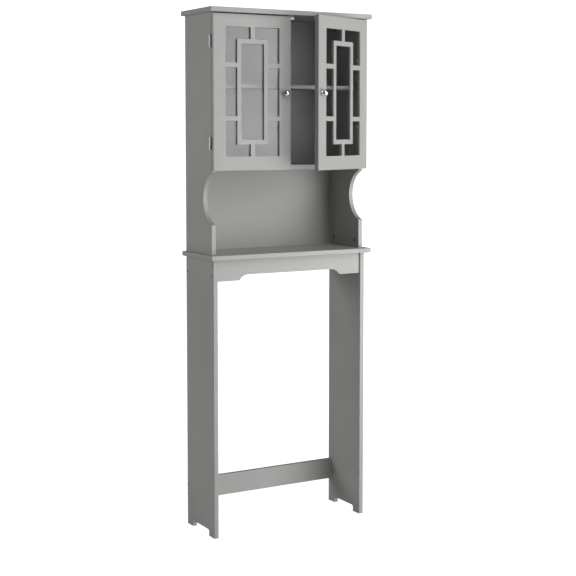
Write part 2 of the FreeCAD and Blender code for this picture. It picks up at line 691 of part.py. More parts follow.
def driver_cross(name, length, width, depth, top):
    """The two crossed bars that cut a driver slot into a face at the height top."""
    low = f"{top} - {depth}"
    bars = [
        block(name + "_long", (length, width, f"{depth} + 1"), (f"-{length} / 2", f"-{width} / 2", low)),
        block(name + "_cross", (width, length, f"{depth} + 1"), (f"-{width} / 2", f"-{length} / 2", low)),
    ]
    return fused(name + "_bars", bars)


def cam_bolt_pattern():
    """A cam bolt along +Z from the joint: its screw is below z = 0, its head is in the cam."""
    screw = cylinder("cam_bolt_screw", "cam_thread_radius", "cam_thread_length", "-cam_thread_length")
    shaft = cylinder("cam_bolt_shaft", "cam_bolt_radius", "cam_inset - 1")
    head = cylinder("cam_bolt_head", "cam_head_radius", "3", "cam_inset - 1")
    return fused("cam_bolt_pattern", [screw, shaft, head])


def screw_pattern(name, shank, length, head, height, drive):
    """A screw along +Z: the head's underside is at z = 0 and the shank runs to -length."""
    body = fused(name + "_body", [
        cylinder(name + "_shank", shank, length, f"-({length})"), cylinder(name + "_head", head, height),
    ])
    recess = doc.addObject("Part::Prism", name + "_drive")
    recess.Polygon = 6
    recess.setExpression("Circumradius", linked(drive))
    recess.setExpression("Height", linked(height))
    recess.setExpression("Placement.Base.z", linked(f"{height} * 0.4"))
    return cut(name, body, recess)


cam_lock = cam_lock_pattern()
cam_bolt = cam_bolt_pattern()
dowel = cylinder("dowel_pattern", "dowel_radius", "dowel_length", "-dowel_in_face")
rail_screw = screw_pattern("rail_screw_pattern", "rail_screw_radius", "rail_screw_length",
                           "rail_head_radius", "rail_head_height", "rail_drive")
small_screw = screw_pattern("small_screw_pattern", "small_screw_radius", "small_screw_length",
                            "small_head_radius", "small_head_height", "small_drive")


def sunk_screw_pattern(name):
    """A countersunk screw along +Z: its head's flat top is at z = 0."""
    cone = doc.addObject("Part::Cone", name + "_head")
    cone.setExpression("Radius1", linked("small_screw_radius"))
    cone.setExpression("Radius2", linked("small_head_radius"))
    cone.setExpression("Height", linked("sunk_head_height"))
    cone.setExpression("Placement.Base.z", linked("-sunk_head_height"))
    shank = cylinder(name + "_shank", "small_screw_radius", "small_screw_length", "-small_screw_length")
    cross = driver_cross(name + "_drive", "small_slot_length", "small_slot_width", "small_slot_depth", "0")
    return cut(name, fused(name + "_body", [shank, cone]), cross)


sunk_screw = sunk_screw_pattern("sunk_screw_pattern")
shelf_pin = fused("shelf_pin_pattern", [
    cylinder("shelf_pin_shank", "pin_radius", "pin_in", "-pin_in"),
    cylinder("shelf_pin_peg", "pin_radius", "pin_out"),
])


def joint_spots():
    """Cams, cam bolts and dowels of the boards, each with the direction of its +Z and its mouth."""
    cams, bolts, dowels = [], [], []
    for side in (-1, 1):
        middle = f"{side} * (carcass_width / 2 - board / 2)"
        closed = f"{side} * (carcass_width / 2 - board + cam_height)"
        rows = [
            (SIDE_CAMS, SIDE_DOWELS, "side_setback", "ledge_level", 1),
            (SIDE_CAMS, SIDE_DOWELS, "side_setback", "overall_height - board", -1),
            (LEG_CAMS, LEG_DOWELS, "0", "leg_height", -1),
        ]
        for cam_line, dowel_line, front, level, up in rows:
            for cam in cam_line:
                y = f"{front} + {cam}"
                cams.append(((closed, y, f"{level} + {up} * cam_inset"), (-side, 0, 0), (0, 0, -up)))
                bolts.append(((middle, y, level), (0, 0, up)))
            for dowel_y in dowel_line:
                dowels.append(((middle, f"{front} + {dowel_y}", level), (0, 0, up)))
        wall = f"{side} * (carcass_width / 2 - board)"
        level = "ledge_level + floor_level"
        for cam in SIDE_CAMS:
            y = f"side_setback + {cam}"
            spot = (f"{wall} - {side} * cam_inset", y, f"{level} + cam_height")
            cams.append((spot, (0, 0, -1), (side, 0, 0)))
            bolts.append(((wall, y, f"{level} + board / 2"), (-side, 0, 0)))
        for dowel_y in SIDE_DOWELS:
            dowels.append(((wall, f"side_setback + {dowel_y}", f"{level} + board / 2"), (-side, 0, 0)))
    return cams, bolts, dowels


def cam_group(name, spots):
    """The cam locks, each turned so that its mouth faces its bolt."""
    doc.recompute()
    copies = []
    for (x, y, z), toward, mouth in spots:
        axis = FreeCAD.Vector(*toward)
        front = FreeCAD.Vector(*mouth)
        turn = FreeCAD.Rotation(front, axis.cross(front), axis, "ZXY")
        base = FreeCAD.Vector(value(x), value(y) - value("origin_back"), value(z))
        copy = cam_lock.Shape.copy()
        copy.Placement = FreeCAD.Placement(base, turn)
        copies.append(copy)
    feature = doc.addObject("Part::Feature", name)
    feature.Label = name
    feature.Shape = Part.makeCompound(copies)
    return feature


cam_spots, bolt_spots, dowel_spots = joint_spots()
cam_locks = cam_group("cam_locks", cam_spots)
cam_bolts = group("cam_bolts", cam_bolt, bolt_spots)
wood_dowels = group("wood_dowels", dowel, dowel_spots)

head_seat = "(carcass_width / 2 - rail_head_sink - rail_head_height)"
rail_spots = []
for side in (-1, 1):
    rail_spots += [((f"{side} * {head_seat}", y, z), (side, 0, 0)) for y, z in rail_screw_spots()]
rail_screws = group("rail_screws", rail_screw, rail_spots)

pin_level = "ledge_level + pin_row"
pin_spots = []
for side in (-1, 1):
    for column in ("pin_front", "pin_back"):
        spot = (f"{side} * (carcass_width / 2 - board)", f"side_setback + {column}", pin_level)
        pin_spots.append((spot, (-side, 0, 0)))
shelf_pins = group("shelf_pins", shelf_pin, pin_spots)


# ---------------------------------------------------------------- hinges

KNUCKLES = 5


def leaf(name, side, middle, on_frame, swing=None):
    """One hinge leaf with its knuckles: the frame leaf has the odd ones and the door leaf the even.
    Its own origin is on the pin's axis, at the height of the middle board's top."""
    depth = "leaf_gap / 2" if on_frame else "-leaf_gap / 2 - leaf_thick"
    bottom = f"{middle} - hinge_height / 2"
    plate_left = "-(leaf_start + leaf_width)" if side > 0 else "leaf_start"
    plate = ("leaf_width", "leaf_thick", "hinge_height")
    tab = ("leaf_start", "leaf_thick", "knuckle_length")
    metal = [block(name + "_plate", plate, (plate_left, depth, bottom))]
    for place in range(KNUCKLES):
        if (place % 2 == 0) != on_frame:
            continue
        low = f"{bottom} + {place} * (knuckle_length + knuckle_play)"
        metal.append(cylinder(f"{name}_knuckle_{place}", "knuckle_radius", "knuckle_length", low))
        tab_left = "-leaf_start" if side > 0 else "0"
        metal.append(block(f"{name}_tab_{place}", tab, (tab_left, depth, low)))
    bores = [cylinder(name + "_bore", "hinge_bore_radius", "hinge_height + 2", f"{bottom} - 1")]
    face = "leaf_gap / 2" if on_frame else "-leaf_gap / 2"
    toward = (0, -1, 0) if on_frame else (0, 1, 0)
    for row in hinge_screw_rows(middle):
        bores += countersink(name, (f"-{side} * (leaf_start + leaf_width / 2)", face, row), toward)
    whole = cut(name, fused(name + "_metal", metal), fused(name + "_bores", bores))
    whole.Label = name
    put(whole, f"{side} * hinge_x", "hinge_y", "ledge_level", swing=swing)
    return whole


def countersink(name, place, toward):
    """A screw hole through thin metal with its cone. place is on the face, toward points out of it."""
    hole = cylinder(name + "_hole", "small_bore", "sunk_head_height * 4")
    cone = doc.addObject("Part::Cone", name + "_sink")
    cone.setExpression("Radius1", linked("small_bore"))
    cone.setExpression("Radius2", linked("small_head_radius + bore_play"))
    cone.setExpression("Height", linked("sunk_head_height"))
    for piece, down in ((hole, "(sunk_head_height * 2)"), (cone, "sunk_head_height")):
        piece.Placement.Rotation = turned(toward)
        for axis, text, way in zip("xyz", place, toward):
            piece.setExpression(f"Placement.Base.{axis}", linked(f"{text} - {way} * {down}"))
    return [hole, cone]


def put(piece, x, y, z, turn=None, swing=None):
    """Places a piece on a door: closed position first, then the door's swing."""
    base = FreeCAD.Vector(value(x), value(y) - value("origin_back"), value(z))
    place = FreeCAD.Placement(base, turn or FreeCAD.Rotation())
    piece.Placement = swing.multiply(place) if swing else place


def door_swing(side, degrees):
    """The turn of a door about its hinge line, opening forwards."""
    centre = FreeCAD.Vector(value(f"{side} * hinge_x"), value("hinge_y") - value("origin_back"), 0)
    turn = FreeCAD.Rotation(FreeCAD.Vector(0, 0, 1), side * degrees)
    return FreeCAD.Placement(FreeCAD.Vector(), turn, centre)


SWINGS = {-1: door_swing(-1, 0), 1: door_swing(1, value("door_ajar"))}
SIDE_NAMES = {-1: "left", 1: "right"}
nodes = [
    top_board, left_side_panel, right_side_panel, cabinet_floor, cabinet_shelf, back_panel, middle_board,
    left_leg_panel, right_leg_panel, front_apron, rear_apron, lower_stretcher, cam_locks, cam_bolts,
    wood_dowels, rail_screws, shelf_pins,
]

frame_screw_spots = []
for side, word in SIDE_NAMES.items():
    for level_name, middle in zip(("lower", "upper"), HINGE_ROWS):
        stem = f"{word}_{level_name}_hinge"
        nodes.append(leaf(stem + "_frame_leaf", side, middle, True))
        nodes.append(leaf(stem + "_door_leaf", side, middle, False, SWINGS[side]))
        hinge_pin = cylinder(stem + "_pin", "hinge_pin_radius", "hinge_height")
        hinge_pin.setExpression("Placement.Base.z", None)
        hinge_pin.Label = stem + "_pin"
        put(hinge_pin, f"{side} * hinge_x", "hinge_y", f"ledge_level + {middle} - hinge_height / 2")
        nodes.append(hinge_pin)
        for row in hinge_screw_rows(middle):
            x = f"{side} * (carcass_width / 2 - leaf_width / 2)"
            frame_screw_spots.append(((x, "hinge_y + leaf_gap / 2", f"ledge_level + {row}"), (0, -1, 0)))


# ---------------------------------------------------------------- doors



def door_frame(name, side, swing):
    """A door cut from one board: frame and fretwork in one piece, with the glass seat behind."""
    body = plain_board(name, "door_width", "door_thick", "door_height")
    soften(body, lambda a, b: max(a.y, b.y) < 1)
    middle = "(door_width / 2)"
    half_bar = "(fret_bar / 2)"
    inner_left = f"({middle} - fret_width / 2)"
    inner_right = f"({middle} + fret_width / 2)"
    inner_low = "(opening_middle - fret_height / 2)"
    inner_high = "(opening_middle + fret_height / 2)"
    right_edge = "(door_width - stile)"
    sketch = new_sketch(body, "XZ_Plane")
    rectangle(sketch, f"{inner_left} + fret_bar", f"{inner_low} + fret_bar",
              f"{inner_right} - fret_bar", f"{inner_high} - fret_bar")
    for left, right in (("stile", inner_left), (inner_right, right_edge)):
        low = f"(opening_middle - fret_arm + {half_bar})"
        rectangle(sketch, left, low, right, f"(opening_middle + fret_arm - {half_bar})")
    for upper in (True, False):
        way = "+" if upper else "-"
        arm = f"(opening_middle {way} (fret_arm + {half_bar}))"
        edge = "opening_top" if upper else "bottom_rail"
        turn = inner_high if upper else inner_low
        for left in (True, False):
            out = "stile" if left else right_edge
            bend = inner_left if left else inner_right
            stop = f"({middle} - {half_bar})" if left else f"({middle} + {half_bar})"
            outline(sketch, [(out, arm), (bend, arm), (bend, turn), (stop, turn), (stop, edge), (out, edge)])
    pocket(body, sketch, "door_thick", False)
    seat = ("stile - rebate_width", "bottom_rail - rebate_width", f"{right_edge} + rebate_width",
            "opening_top + rebate_width")
    slot(body, "XZ_Plane", "-door_thick", seat, "rebate_depth", True)
    hinge_side = "0" if side < 0 else "(door_width - leaf_width + door_reveal)"
    far_side = "(leaf_width - door_reveal)" if side < 0 else "door_width"
    for row in HINGE_ROWS:
        middle_row = f"({row} - door_level)"
        low, high = hinge_mortise(middle_row)
        box = (hinge_side, low, far_side, high)
        slot(body, "XZ_Plane", "-door_thick", box, "leaf_sink", True)
        bores = each([across(side, "leaf_width / 2 - door_reveal")], hinge_screw_rows(middle_row))
        drill(body, "XZ_Plane", "-door_thick", bores, "small_bore", "small_screw_length", True)
    knob_spot = [(across(side, "knob_across"), "door_height / 2")]
    drill(body, "XZ_Plane", "0", knob_spot, "knob_screw_radius + bore_play", "door_thick", False)
    plate = [(across(side, "strike_across"), "strike_up")]
    drill(body, "XZ_Plane", "-door_thick", plate, "small_bore", "small_screw_length", True)
    clip_bores = [(across(side, u), v) for u, v, way in clip_spots()]
    drill(body, "XZ_Plane", "-door_thick", clip_bores, "small_bore", "small_screw_length + bore_end", True)
    put(body, DOOR_LEFT[side], "door_front", "ledge_level + door_level", swing=swing)
    return body


def across(side, distance):
    """A place on a door, counted from its hinge edge, in the door's own frame."""
    return f"({distance})" if side < 0 else f"(door_width - ({distance}))"


DOOR_LEFT = {-1: "-carcass_width / 2 + door_reveal", 1: "carcass_width / 2 - door_reveal - door_width"}


def clip_spots():
    """Each glass clip's screw on a door, from the hinge edge and up, and the way to the glass."""
    low = "(bottom_rail - clip_out)"
    high = "(opening_top + clip_out)"
    hinge = "(stile - clip_out)"
    free = "(door_width - stile + clip_out)"
    spots = []
    for u in ("(stile + clip_corner)", "(door_width - stile - clip_corner)"):
        spots += [(u, low, (0, 1)), (u, high, (0, -1))]
    for v in ("(bottom_rail + clip_side_end)", "(opening_top - clip_side_end)"):
        spots += [(hinge, v, (1, 0)), (free, v, (-1, 0))]
    return spots


def clip_pattern():
    """A glass clip on the door's back: screwed at its origin, its tongue along +X, and a foot
    under the tongue's end that reaches down into the seat and holds the glass."""
    half = "clip_width / 2"
    size = (f"clip_length - {half}", "clip_width", "clip_thick")
    tongue = block("clip_tongue", size, ("0", f"-{half}", "0"))
    foot_size = ("clip_hold - glass_play", "clip_width", "clip_foot + clip_thick / 2")
    foot_start = f"clip_length - {half} - clip_hold + glass_play"
    foot = block("clip_foot", foot_size, (foot_start, f"-{half}", "-clip_foot"))
    round_end = cylinder("clip_round_end", half, "clip_thick")
    hole = cylinder("clip_hole", "small_bore", "clip_thick + 2", "-1")
    return cut("clip_pattern", fused("clip_plate", [tongue, foot, round_end]), hole)


glass_clip = clip_pattern()


def on_door(side, distance, level, y):
    """A world place on a closed door, from its hinge edge, up from its bottom, and in depth."""
    x = f"{side} * (carcass_width / 2 - door_reveal - ({distance}))"
    return x, y, f"ledge_level + door_level + {level}"


def clip_group(name, side, swing):
    doc.recompute()
    copies = []
    for distance, level, way in clip_spots():
        toward = FreeCAD.Vector(-side * way[0], 0, way[1])
        outward = FreeCAD.Vector(0, 1, 0)
        turn = FreeCAD.Rotation(toward, outward.cross(toward), outward, "ZXY")
        x, y, z = on_door(side, distance, level, "door_back")
        base = FreeCAD.Vector(value(x), value(y) - value("origin_back"), value(z))
        copy = glass_clip.Shape.copy()
        copy.Placement = FreeCAD.Placement(base, turn)
        copies.append(copy)
    feature = doc.addObject("Part::Feature", name)
    feature.Label = name
    feature.Shape = Part.makeCompound(copies)
    feature.Placement = swing
    return feature


def knob(name, side, swing):
    """A turned metal knob: foot, short neck and ball-like head, bored for its screw."""
    body = new_body(name)
    sketch = new_sketch(body, "XZ_Plane")
    bore = "(knob_screw_radius + bore_play)"
    rim_middle = "(knob_radius - knob_rim)"
    swell = "(knob_radius - knob_neck)"
    widest = f"(knob_stem + {swell})"
    rise = f"(knob_reach - {widest} - knob_rim)"
    drop = f"(({rim_middle} ^ 2 - {rise} ^ 2) / (2 * {rise}))"
    ball = f"({drop} + {rise} + knob_rim)"
    share = f"(knob_rim / ({ball} - knob_rim))"
    outline(sketch, [
        (bore, "0"), ("knob_base", "0"), ("knob_base", "knob_foot"), ("knob_neck", "knob_waist"),
        ("knob_neck", "knob_stem", swell, 1),
        ("knob_radius", widest, "knob_rim", 1),
        (f"{rim_middle} * (1 + {share})", f"{widest} + {share} * {drop}", ball, 1),
        ("0", "knob_reach"), ("0", "knob_screw_hold + 1"), (bore, "knob_screw_hold + 1"),
    ])
    turning = body.newObject("PartDesign::Revolution", name + "_turning")
    turning.Profile = sketch
    turning.ReferenceAxis = (sketch, ["V_Axis"])
    turning.Angle = 360
    sketch.Visibility = False
    x, y, z = on_door(side, "knob_across", "door_height / 2", "door_front")
    put(body, x, y, z, turned((0, -1, 0)), swing)
    return body


def strike_plate(name, side, swing):
    """A square steel plate for the magnet, on the door's back."""
    plate = block(name + "_plate", ("strike_size", "strike_size", "strike_thick"),
                  ("-strike_size / 2", "-strike_size / 2", "0"))
    whole = cut(name, plate, fused(name + "_bores", countersink(name, ("0", "0", "strike_thick"), (0, 0, 1))))
    whole.Label = name
    x, y, z = on_door(side, "strike_across", "strike_up", "door_back")
    put(whole, x, y, z, turned((0, 1, 0)), swing)
    return whole


def glass_pane(name, side, swing):
    wide = "door_width - 2 * stile + 2 * rebate_width - 2 * glass_play"
    tall = "opening_top - bottom_rail + 2 * rebate_width - 2 * glass_play"
    pane = plain_board(name, wide, "glass_thick", tall)
    corner = "stile - rebate_width + glass_play"
    put(pane, f"{DOOR_LEFT[side]} + {corner}", "door_back - rebate_depth",
        "ledge_level + door_level + bottom_rail - rebate_width + glass_play", swing=swing)
    return pane


def knob_screw(name, side, swing):
    length = "door_thick + knob_screw_hold"
    pattern = screw_pattern(name + "_pattern", "knob_screw_radius", length,
                            "knob_screw_head_radius", "knob_screw_head", "knob_screw_drive")
    spot = on_door(side, "knob_across", "door_height / 2", "door_back")
    return group(name, pattern, [(spot, (0, 1, 0))], swing)


for side, word in SIDE_NAMES.items():
    swing = SWINGS[side]
    nodes.append(door_frame(f"{word}_door_frame", side, swing))
    nodes.append(glass_pane(f"{word}_door_glass", side, swing))
    nodes.append(clip_group(f"{word}_glass_clips", side, swing))
    clip_face = "(door_back + clip_thick)"
    spots = [(on_door(side, u, v, clip_face), (0, 1, 0)) for u, v, way in clip_spots()]
    nodes.append(group(f"{word}_clip_screws", small_screw, spots, swing))
    nodes.append(knob(f"{word}_knob", side, swing))
    nodes.append(knob_screw(f"{word}_knob_screw", side, swing))
    nodes.append(strike_plate(f"{word}_strike_plate", side, swing))
    plate_face = "(door_back + strike_thick)"
    spots = [(on_door(side, "strike_across", "strike_up", plate_face), (0, 1, 0))]
    nodes.append(group(f"{word}_strike_screw", sunk_screw, spots, swing))
    spots = []
    for row in HINGE_ROWS:
        for level in hinge_screw_rows(f"({row} - door_level)"):
            face = "hinge_y - leaf_gap / 2"
            spots.append((on_door(side, "leaf_width / 2 - door_reveal", level, face), (0, 1, 0)))
    nodes.append(group(f"{word}_hinge_door_screws", sunk_screw, spots, swing))
nodes.append(group("hinge_frame_screws", sunk_screw, frame_screw_spots))


# ---------------------------------------------------------------- magnetic catch


def catch_body():
    """The plastic case of the double catch, screwed up under the top board."""
    body = plain_board("catch_body", "catch_width", "catch_depth", "catch_height")
    middle = "(catch_width / 2)"
    for sign in "+-":
        left = f"({middle} {sign} magnet_middle - magnet_width / 2)"
        box = (left, "magnet_rise", f"{left} + magnet_width", "magnet_rise + magnet_height")
        slot(body, "XZ_Plane", "0", box, "magnet_depth", False)
    drill(body, "XY_Plane", "0", CATCH_HOLES, "small_bore", "catch_height", True)
    head_bore = "small_head_radius + bore_play"
    drill(body, "XY_Plane", "0", CATCH_HOLES, head_bore, "catch_height - catch_seat", True)
    stand(body, "-catch_width / 2", "side_setback + catch_front", "overall_height - board - catch_height")
    return body


def catch_magnets():
    """Two magnets, flush with the case's front."""
    doc.recompute()
    magnets = []
    for sign in (-1, 1):
        wide = value("magnet_width - 2 * bore_play")
        magnet = Part.makeBox(wide, value("magnet_depth - bore_play"), value("magnet_height - 2 * bore_play"))
        low = "overall_height - board - catch_height + magnet_rise + bore_play"
        x = f"{sign} * magnet_middle - magnet_width / 2 + bore_play"
        y = "side_setback + catch_front - origin_back"
        magnet.Placement.Base = FreeCAD.Vector(value(x), value(y), value(low))
        magnets.append(magnet)
    feature = doc.addObject("Part::Feature", "catch_magnets")
    feature.Label = "catch_magnets"
    feature.Shape = Part.makeCompound(magnets)
    return feature


nodes.append(catch_body())
nodes.append(catch_magnets())
catch_spots = []
for x, y in CATCH_HOLES:
    level = "overall_height - board - catch_seat"
    place = (f"{x} - catch_width / 2", f"side_setback + catch_front + {y}", level)
    catch_spots.append((place, (0, 0, -1)))
nodes.append(group("catch_screws", small_screw, catch_spots))


# ---------------------------------------------------------------- checks and files

doc.recompute()
for item in doc.Objects:
    assert not {"Invalid", "Error"} & set(item.State), f"{item.Label} did not build: {item.State}"
    if item.TypeId == "PartDesign::Pocket":
        before = item.BaseFeature.Shape.Volume
        assert item.Shape.Volume < before - 1e-3, f"{item.Label} cuts nothing"
for node in nodes:
    assert not node.Shape.isNull() and node.Shape.isValid(), f"{node.Label} has no valid shape"

os.makedirs("parts", exist_ok=True)
box = FreeCAD.BoundBox()
for node in nodes:
    box.add(node.Shape.BoundBox)
    node.Shape.exportStep(f"parts/{node.Label}.step")
print(len(nodes), "nodes")
print("X", round(box.XMin, 2), round(box.XMax, 2), "Y", round(box.YMin, 2), round(box.YMax, 2),
      "Z", round(box.ZMin, 2), round(box.ZMax, 2))
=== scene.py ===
import math
import bpy
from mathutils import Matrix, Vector

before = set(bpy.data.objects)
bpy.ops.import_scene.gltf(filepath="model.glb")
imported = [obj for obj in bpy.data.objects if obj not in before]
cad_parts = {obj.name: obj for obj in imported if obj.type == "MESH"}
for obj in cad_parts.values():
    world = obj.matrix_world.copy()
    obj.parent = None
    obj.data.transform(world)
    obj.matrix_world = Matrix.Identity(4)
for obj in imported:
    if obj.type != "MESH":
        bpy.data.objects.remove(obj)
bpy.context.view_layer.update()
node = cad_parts
bpy.ops.object.select_all(action="DESELECT")

# ---------------------------------------------------------------- leg panels
# Two fibreboard panels that stand on the floor on two feet each and carry everything above.
# They are cut to shape, their arrises are broken with sandpaper, and they are sprayed grey:
# a satin lacquer with a fine peel, a faint cloudiness and now and then a speck of dust.

GREY = (0.385, 0.387, 0.373)
DARKEST_CLOUD = 0.97
LIGHTEST_CLOUD = 1.02
CLOUDS_PER_METRE = 7
PEEL_PER_METRE = 650
SPECKS_PER_METRE = 60
SPECK_CORE = 0.02
SPECK_EDGE = 0.05
LACQUER_RELIEF = 0.0004


def satin_lacquer(name, colour, gloss):
    """Sprayed lacquer of one colour. gloss is about its mean roughness."""
    lacquer = bpy.data.materials.new(name)
    lacquer.use_nodes = True
    tree = lacquer.node_tree
    shader = tree.nodes["Principled BSDF"]
    place = tree.nodes.new("ShaderNodeTexCoord")
    clouds = tree.nodes.new("ShaderNodeTexNoise")
    clouds.inputs["Scale"].default_value = CLOUDS_PER_METRE
    clouds.inputs["Detail"].default_value = 5
    tree.links.new(place.outputs["Object"], clouds.inputs["Vector"])
    tint = tree.nodes.new("ShaderNodeValToRGB")
    tint.color_ramp.elements[0].position = 0.3
    tint.color_ramp.elements[1].position = 0.7
    tint.color_ramp.elements[0].color = (*[DARKEST_CLOUD * part for part in colour], 1)
    tint.color_ramp.elements[1].color = (*[LIGHTEST_CLOUD * part for part in colour], 1)
    tree.links.new(clouds.outputs["Fac"], tint.inputs["Fac"])
    tree.links.new(tint.outputs["Color"], shader.inputs["Base Color"])
    sheen = tree.nodes.new("ShaderNodeMapRange")
    sheen.inputs["To Min"].default_value = gloss - 0.05
    sheen.inputs["To Max"].default_value = gloss + 0.07
    tree.links.new(clouds.outputs["Fac"], sheen.inputs["Value"])
    tree.links.new(sheen.outputs["Result"], shader.inputs["Roughness"])
    peel = tree.nodes.new("ShaderNodeTexNoise")
    peel.inputs["Scale"].default_value = PEEL_PER_METRE
    peel.inputs["Detail"].default_value = 3
    tree.links.new(place.outputs["Object"], peel.inputs["Vector"])
    specks = tree.nodes.new("ShaderNodeTexVoronoi")
    specks.inputs["Scale"].default_value = SPECKS_PER_METRE
    tree.links.new(place.outputs["Object"], specks.inputs["Vector"])
    dust = tree.nodes.new("ShaderNodeMapRange")
    dust.inputs["From Min"].default_value = SPECK_CORE
    dust.inputs["From Max"].default_value = SPECK_EDGE
    dust.inputs["To Min"].default_value = 1
    dust.inputs["To Max"].default_value = 0
    tree.links.new(specks.outputs["Distance"], dust.inputs["Value"])
    relief = tree.nodes.new("ShaderNodeMath")
    relief.operation = "ADD"
    tree.links.new(peel.outputs["Fac"], relief.inputs[0])
    tree.links.new(dust.outputs["Result"], relief.inputs[1])
    bump = tree.nodes.new("ShaderNodeBump")
    bump.inputs["Strength"].default_value = 0.12
    bump.inputs["Distance"].default_value = LACQUER_RELIEF
    tree.links.new(relief.outputs["Value"], bump.inputs["Height"])
    tree.links.new(bump.outputs["Normal"], shader.inputs["Normal"])
    return lacquer


def finish(names, material):
    """Gives carried-over pieces their finish."""
    for name in names:
        slots = node[name].data.materials
        slots.clear()
        slots.append(material)


board_lacquer = satin_lacquer("grey_satin_lacquer", GREY, 0.42)
finish(["left_leg_panel", "right_leg_panel"], board_lacquer)

# ---------------------------------------------------------------- rails
# The arched front apron, the rear apron with its two wall screw holes and the lower rear
# stretcher tie the legs together. They are strips of the same lacquered fibreboard.

finish(["front_apron", "rear_apron", "lower_rear_stretcher"], board_lacquer)

# ---------------------------------------------------------------- rail screws
# Steel screws pass through the legs into the ends of the rails. Their heads are sunk a
# millimetre, have a hexagon for the key, and are zinc plated, dull and finely grained.

DULLEST_GRAIN = 0.92
PLATING_RELIEF = 0.0001


def plated_steel(name, grey, roughness, grain):
    """Bright metal plating whose tone and gloss vary in grains of about 1/grain metres."""
    plating = bpy.data.materials.new(name)
    plating.use_nodes = True
    tree = plating.node_tree
    shader = tree.nodes["Principled BSDF"]
    shader.inputs["Metallic"].default_value = 1
    place = tree.nodes.new("ShaderNodeTexCoord")
    marks = tree.nodes.new("ShaderNodeTexNoise")
    marks.inputs["Scale"].default_value = grain
    marks.inputs["Detail"].default_value = 4
    tree.links.new(place.outputs["Object"], marks.inputs["Vector"])
    tint = tree.nodes.new("ShaderNodeValToRGB")
    tint.color_ramp.elements[0].position = 0.25
    tint.color_ramp.elements[1].position = 0.75
    tint.color_ramp.elements[0].color = (DULLEST_GRAIN * grey, DULLEST_GRAIN * grey, 0.93 * grey, 1)
    tint.color_ramp.elements[1].color = (grey, grey, 1.01 * grey, 1)
    tree.links.new(marks.outputs["Fac"], tint.inputs["Fac"])
    tree.links.new(tint.outputs["Color"], shader.inputs["Base Color"])
    wear = tree.nodes.new("ShaderNodeMapRange")
    wear.inputs["To Min"].default_value = 0.7 * roughness
    wear.inputs["To Max"].default_value = 1.4 * roughness
    tree.links.new(marks.outputs["Fac"], wear.inputs["Value"])
    tree.links.new(wear.outputs["Result"], shader.inputs["Roughness"])
    bump = tree.nodes.new("ShaderNodeBump")
    bump.inputs["Strength"].default_value = 0.05
    bump.inputs["Distance"].default_value = PLATING_RELIEF
    tree.links.new(marks.outputs["Fac"], bump.inputs["Height"])
    tree.links.new(bump.outputs["Normal"], shader.inputs["Normal"])
    return plating


zinc_plating = plated_steel("zinc_plating", 0.42, 0.4, 900)
finish(["rail_screws"], zinc_plating)

# ---------------------------------------------------------------- middle board
# The ledge over the toilet. It lies on the legs, overhangs them all round but at the back,
# and has rounded edges. It is lacquered like the legs.

finish(["middle_board"], board_lacquer)

# ---------------------------------------------------------------- side panels
# The upper side panels with their scalloped front edges and rows of holes for shelf pins.
# They stand on the middle board, and are lacquered like the legs.

finish(["left_side_panel", "right_side_panel"], board_lacquer)

# ---------------------------------------------------------------- cam locks, cam bolts and dowels
# The boards are pulled together by die-cast zinc cams, which turn on the heads of plated cam
# bolts, and are lined up by plain beech dowels, all of them hidden but for the cams' faces.

cast_zinc = plated_steel("cast_zinc", 0.3, 0.5, 900)
finish(["cam_locks"], cast_zinc)
finish(["cam_bolts"], zinc_plating)

FLECKS_PER_METRE = 1200
DARK_FLECK = (0.40, 0.25, 0.12, 1)
PALE_WOOD = (0.62, 0.45, 0.27, 1)


def turned_beech():
    """Bare beech with its fine flecks."""
    beech = bpy.data.materials.new("turned_beech")
    beech.use_nodes = True
    tree = beech.node_tree
    shader = tree.nodes["Principled BSDF"]
    shader.inputs["Roughness"].default_value = 0.65
    place = tree.nodes.new("ShaderNodeTexCoord")
    flecks = tree.nodes.new("ShaderNodeTexNoise")
    flecks.inputs["Scale"].default_value = FLECKS_PER_METRE
    flecks.inputs["Detail"].default_value = 2
    tree.links.new(place.outputs["Object"], flecks.inputs["Vector"])
    tint = tree.nodes.new("ShaderNodeValToRGB")
    tint.color_ramp.elements[0].color = DARK_FLECK
    tint.color_ramp.elements[1].color = PALE_WOOD
    tree.links.new(flecks.outputs["Fac"], tint.inputs["Fac"])
    tree.links.new(tint.outputs["Color"], shader.inputs["Base Color"])
    bump = tree.nodes.new("ShaderNodeBump")
    bump.inputs["Strength"].default_value = 0.3
    bump.inputs["Distance"].default_value = 0.0001
    tree.links.new(flecks.outputs["Fac"], bump.inputs["Height"])
    tree.links.new(bump.outputs["Normal"], shader.inputs["Normal"])
    return beech


finish(["wood_dowels"], turned_beech())

# ---------------------------------------------------------------- cabinet floor and top board
# The cabinet's fixed floor hangs between the side panels, and the top board lies on them.
# Both are lacquered fibreboard, and the top board has the middle board's rounded edges.

finish(["cabinet_floor", "top_board"], board_lacquer)

# ---------------------------------------------------------------- back panel
# One sheet of thin hardboard, slid into grooves in the side panels. Its smooth face is
# coated grey at the mill, a little flatter than the sprayed boards. Its grey is also a little
# darker than theirs: painted shade for the dim inside of the cabinet and the open bay under it.

BACK_GREY_AND_PAINTED_SHADE = (0.36, 0.362, 0.352)

# painted shade: the back panel's darker grey stands in for the shade inside the cabinet
finish(["back_panel"], satin_lacquer("hardboard_coat_and_painted_shade", BACK_GREY_AND_PAINTED_SHADE, 0.55))

# ---------------------------------------------------------------- adjustable shelf and its pins
# A thinner board with a lacquered front edge. It lies loose on four nickel-plated pins, which
# are pushed into one of five rows of holes in the side panels.

finish(["cabinet_shelf"], board_lacquer)
finish(["shelf_pins"], plated_steel("nickel_plating", 0.6, 0.22, 600))

# ---------------------------------------------------------------- hinges
# Four butt hinges of pressed steel, each two leaves on a pin, let into the doors' backs and
# the side panels' front edges with countersunk screws. They are plated and lightly brushed.

